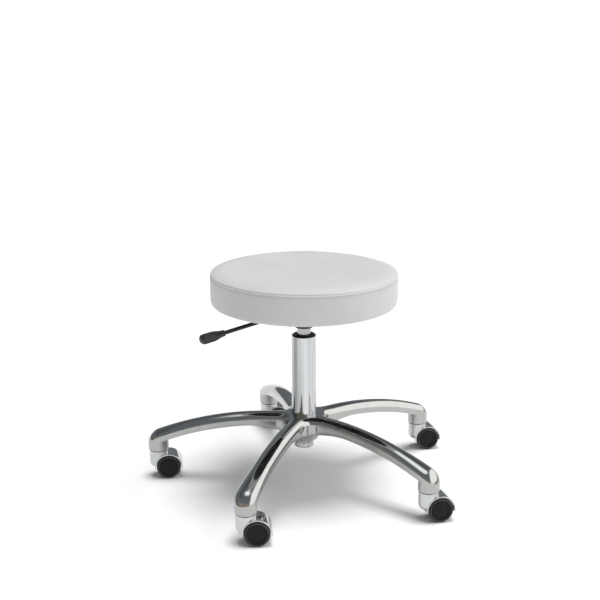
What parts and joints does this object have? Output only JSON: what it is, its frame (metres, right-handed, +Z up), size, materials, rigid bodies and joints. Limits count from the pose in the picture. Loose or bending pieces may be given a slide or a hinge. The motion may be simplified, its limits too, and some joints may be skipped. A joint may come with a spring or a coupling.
{
  "type": "dentist stool",
  "caption": "Round padded stool on a lever-released gas spring column, with a swivelling seat and an arched star base on twin-wheel castors.",
  "frame": {"origin": "on the floor, under the middle of the stool's bounding box; the column axis stands at x = 0.0098 m, y = -0.0071 m", "axes": "+Z up along the column; +Y away from the side on which the release lever sits; +X to the right of a viewer who looks along +Y"},
  "size_m": [0.6298, 0.626, 0.449],
  "materials": {
    "polished_aluminium": "polished",
    "chrome_steel": "polished",
    "satin_steel": "satin",
    "zinc_steel": "satin",
    "black_steel": "semi-gloss",
    "black_plastic": "matte",
    "soft_tread": "matte",
    "black_rubber": "matte",
    "white_vinyl": "satin",
    "seat_foam": "matte",
    "plywood": "matte",
    "black_lining": "matte"
  },
  "bodies": {
    "base": {"star_base": "polished_aluminium", "column_tube": "chrome_steel", "guide_bush": "black_plastic", "thrust_washer_lower": "zinc_steel", "thrust_bearing": "satin_steel", "castor_1_stem": "zinc_steel", "castor_2_stem": "zinc_steel", "castor_3_stem": "zinc_steel", "castor_4_stem": "zinc_steel", "castor_5_stem": "zinc_steel"},
    "swivel": {"piston_rod": "satin_steel", "thrust_washer_upper": "zinc_steel", "rubber_buffer": "black_rubber", "retaining_clip": "zinc_steel"},
    "seat": {"gas_cylinder": "satin_steel", "rod_guide": "black_plastic", "taper_socket": "black_steel", "seat_plate": "black_steel", "plate_bolt_1": "zinc_steel", "plate_bolt_2": "zinc_steel", "plate_bolt_3": "zinc_steel", "plate_bolt_4": "zinc_steel", "lever_pivot_pin": "zinc_steel", "seat_board": "plywood", "seat_foam": "seat_foam", "seat_cover": "white_vinyl", "underside_cover": "black_lining"},
    "lever": {"lever_rod": "black_steel", "lever_grip": "black_plastic"},
    "release_button": {"release_pin": "zinc_steel"},
    "castor_1": {"castor_1_hood": "chrome_steel", "castor_1_axle": "zinc_steel"},
    "castor_1_right_wheel": {"castor_1_wheel_right": "black_plastic", "castor_1_tread_right": "soft_tread"},
    "castor_1_left_wheel": {"castor_1_wheel_left": "black_plastic", "castor_1_tread_left": "soft_tread"},
    "castor_2": {"castor_2_hood": "chrome_steel", "castor_2_axle": "zinc_steel"},
    "castor_2_right_wheel": {"castor_2_wheel_right": "black_plastic", "castor_2_tread_right": "soft_tread"},
    "castor_2_left_wheel": {"castor_2_wheel_left": "black_plastic", "castor_2_tread_left": "soft_tread"},
    "castor_3": {"castor_3_hood": "chrome_steel", "castor_3_axle": "zinc_steel"},
    "castor_3_right_wheel": {"castor_3_wheel_right": "black_plastic", "castor_3_tread_right": "soft_tread"},
    "castor_3_left_wheel": {"castor_3_wheel_left": "black_plastic", "castor_3_tread_left": "soft_tread"},
    "castor_4": {"castor_4_hood": "chrome_steel", "castor_4_axle": "zinc_steel"},
    "castor_4_right_wheel": {"castor_4_wheel_right": "black_plastic", "castor_4_tread_right": "soft_tread"},
    "castor_4_left_wheel": {"castor_4_wheel_left": "black_plastic", "castor_4_tread_left": "soft_tread"},
    "castor_5": {"castor_5_hood": "chrome_steel", "castor_5_axle": "zinc_steel"},
    "castor_5_right_wheel": {"castor_5_wheel_right": "black_plastic", "castor_5_tread_right": "soft_tread"},
    "castor_5_left_wheel": {"castor_5_wheel_left": "black_plastic", "castor_5_tread_left": "soft_tread"}
  },
  "joints": [
    {"name": "seat_swivel", "type": "hinge", "parent": "base", "child": "swivel", "pos_m": [0.00979, -0.00706, 0.0783], "axis": [0, 0, 1], "continuous": true},
    {"name": "seat_lift", "type": "slide", "parent": "swivel", "child": "seat", "axis": [0, 0, 1], "range_m": [0, 0.13]},
    {"name": "lever_pull", "type": "hinge", "parent": "seat", "child": "lever", "pos_m": [-0.00844, -0.01936, 0.36645], "axis": [-0.5592, 0.829, 0], "range_deg": [0, 6], "stiffness_Nm_per_rad": 4, "springref_deg": -5.73},
    {"name": "release_press", "type": "slide", "parent": "seat", "child": "release_button", "axis": [0, 0, -1], "range_m": [0, 0.0024]},
    {"name": "castor_1_swivel", "type": "hinge", "parent": "base", "child": "castor_1", "pos_m": [-0.09717, -0.29162, 0.0598], "axis": [0, 0, 1], "continuous": true},
    {"name": "castor_1_right_roll", "type": "hinge", "parent": "castor_1", "child": "castor_1_right_wheel", "pos_m": [-0.07719, -0.29058, 0.025], "axis": [-0.0523, 0.9986, 0], "continuous": true},
    {"name": "castor_1_left_roll", "type": "hinge", "parent": "castor_1", "child": "castor_1_left_wheel", "pos_m": [-0.07719, -0.29058, 0.025], "axis": [-0.0523, 0.9986, 0], "continuous": true},
    {"name": "castor_2_swivel", "type": "hinge", "parent": "base", "child": "castor_2", "pos_m": [0.24738, -0.19672, 0.0598], "axis": [0, 0, 1], "continuous": true},
    {"name": "castor_2_right_roll", "type": "hinge", "parent": "castor_2", "child": "castor_2_right_wheel", "pos_m": [0.26694, -0.19256, 0.025], "axis": [-0.2079, 0.9781, 0], "continuous": true},
    {"name": "castor_2_left_roll", "type": "hinge", "parent": "castor_2", "child": "castor_2_left_wheel", "pos_m": [0.26694, -0.19256, 0.025], "axis": [-0.2079, 0.9781, 0], "continuous": true},
    {"name": "castor_3_swivel", "type": "hinge", "parent": "base", "child": "castor_3", "pos_m": [0.26359, 0.16029, 0.0598], "axis": [0, 0, 1], "continuous": true},
    {"name": "castor_3_right_roll", "type": "hinge", "parent": "castor_3", "child": "castor_3_right_wheel", "pos_m": [0.28328, 0.16376, 0.025], "axis": [-0.1736, 0.9848, 0], "continuous": true},
    {"name": "castor_3_left_roll", "type": "hinge", "parent": "castor_3", "child": "castor_3_left_wheel", "pos_m": [0.28328, 0.16376, 0.025], "axis": [-0.1736, 0.9848, 0], "continuous": true},
    {"name": "castor_4_swivel", "type": "hinge", "parent": "base", "child": "castor_4", "pos_m": [-0.07094, 0.28602, 0.0598], "axis": [0, 0, 1], "continuous": true},
    {"name": "castor_4_right_roll", "type": "hinge", "parent": "castor_4", "child": "castor_4_right_wheel", "pos_m": [-0.05113, 0.28881, 0.025], "axis": [-0.1392, 0.9903, 0], "continuous": true},
    {"name": "castor_4_left_roll", "type": "hinge", "parent": "castor_4", "child": "castor_4_left_wheel", "pos_m": [-0.05113, 0.28881, 0.025], "axis": [-0.1392, 0.9903, 0], "continuous": true},
    {"name": "castor_5_swivel", "type": "hinge", "parent": "base", "child": "castor_5", "pos_m": [-0.29389, 0.00673, 0.0598], "axis": [0, 0, 1], "continuous": true},
    {"name": "castor_5_right_roll", "type": "hinge", "parent": "castor_5", "child": "castor_5_right_wheel", "pos_m": [-0.274, 0.00882, 0.025], "axis": [-0.1045, 0.9945, 0], "continuous": true},
    {"name": "castor_5_left_roll", "type": "hinge", "parent": "castor_5", "child": "castor_5_left_wheel", "pos_m": [-0.274, 0.00882, 0.025], "axis": [-0.1045, 0.9945, 0], "continuous": true}
  ],
  "couplings": [
    {"joint": "release_press", "follows": "lever_pull", "m_per_rad": 0.022}
  ]
}
